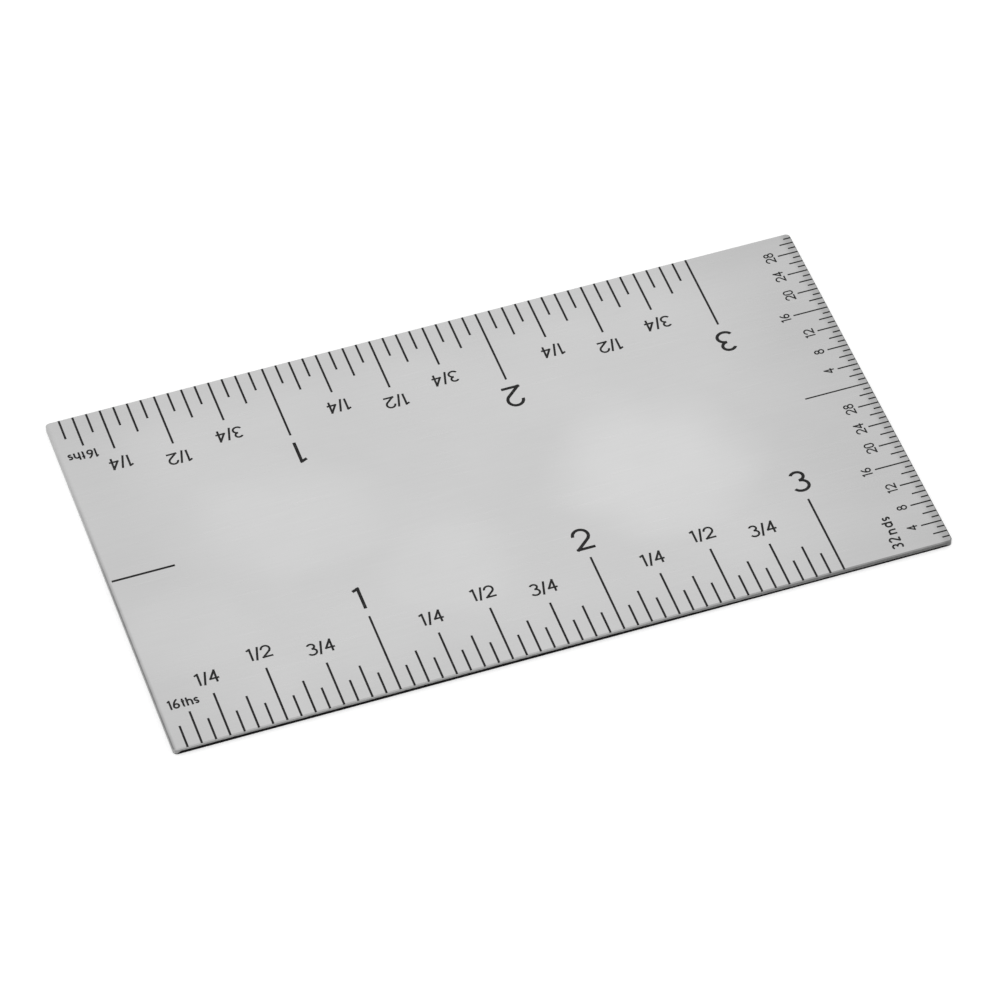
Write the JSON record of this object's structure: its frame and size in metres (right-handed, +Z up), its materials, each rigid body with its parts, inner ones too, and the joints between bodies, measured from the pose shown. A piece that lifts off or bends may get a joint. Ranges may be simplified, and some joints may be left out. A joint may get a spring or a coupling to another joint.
{
  "type": "steel square",
  "caption": "Flat rectangular steel square for laying out and checking right angles, with engraved inch graduations along both long edges and one end.",
  "frame": {"origin": "middle of the underside", "axes": "+X along the long edges, from the end where the inches start to the far end; +Y across the plate, from the edge whose figures read upright to the other long edge; +Z up, out of the graduated face"},
  "size_m": [0.0888, 0.0508, 0.0008],
  "materials": {
    "ground_steel": "satin ground stainless steel, bare",
    "black_fill": "matt black paint left in the engraved lines and figures"
  },
  "bodies": {
    "root": {"square_plate": "ground_steel"}
  },
  "joints": []
}
